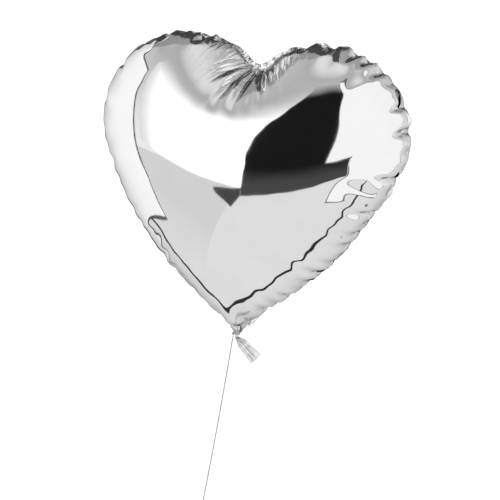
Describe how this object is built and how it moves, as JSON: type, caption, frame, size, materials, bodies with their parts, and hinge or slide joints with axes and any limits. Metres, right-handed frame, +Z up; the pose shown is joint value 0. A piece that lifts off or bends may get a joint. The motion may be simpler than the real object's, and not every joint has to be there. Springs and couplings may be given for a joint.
{
  "type": "heart-shaped foil balloon",
  "caption": "Inflated heart-shaped foil balloon of heat-sealed mirror film, its neck gathered and tied with a string that ends in a loop.",
  "frame": {"origin": "centre of the gathered neck, at the middle one of the string's wraps", "axes": "+Z up the heart's line of symmetry, from the tie to the cleft; the front panel faces -Y; +X is to the viewer's right when facing the front panel"},
  "size_m": [0.375, 0.2098, 0.6277],
  "materials": {
    "foil": "aluminised polyester film, mirror bright, finely creased towards the sealed edge",
    "valve_film": "thin translucent film, unprinted",
    "string": "thin light grey twisted string"
  },
  "bodies": {
    "balloon": {"front_foil_panel": "foil", "back_foil_panel": "foil", "valve_front_film": "valve_film", "valve_back_film": "valve_film", "string_neck_tie": "string"},
    "tail": {"tail_front_film": "foil", "tail_back_film": "foil"},
    "lead": {"string_lead": "string"},
    "strand": {"string_strand": "string", "string_end_loop": "string"}
  },
  "joints": [
    {"name": "tail_swing", "type": "hinge", "parent": "balloon", "child": "tail", "pos_m": [0.001, 0, -0.0066], "axis": [0, -1, 0], "range_deg": [-15, 35]},
    {"name": "string_side_tilt", "type": "hinge", "parent": "balloon", "child": "lead", "pos_m": [-0.00355, -0.00355, -0.0046], "axis": [0, 1, 0], "range_deg": [-17, 60]},
    {"name": "string_fore_aft_tilt", "type": "hinge", "parent": "lead", "child": "strand", "pos_m": [-0.00355, -0.00355, -0.0046], "axis": [1, 0, 0], "range_deg": [-60, 60]}
  ]
}
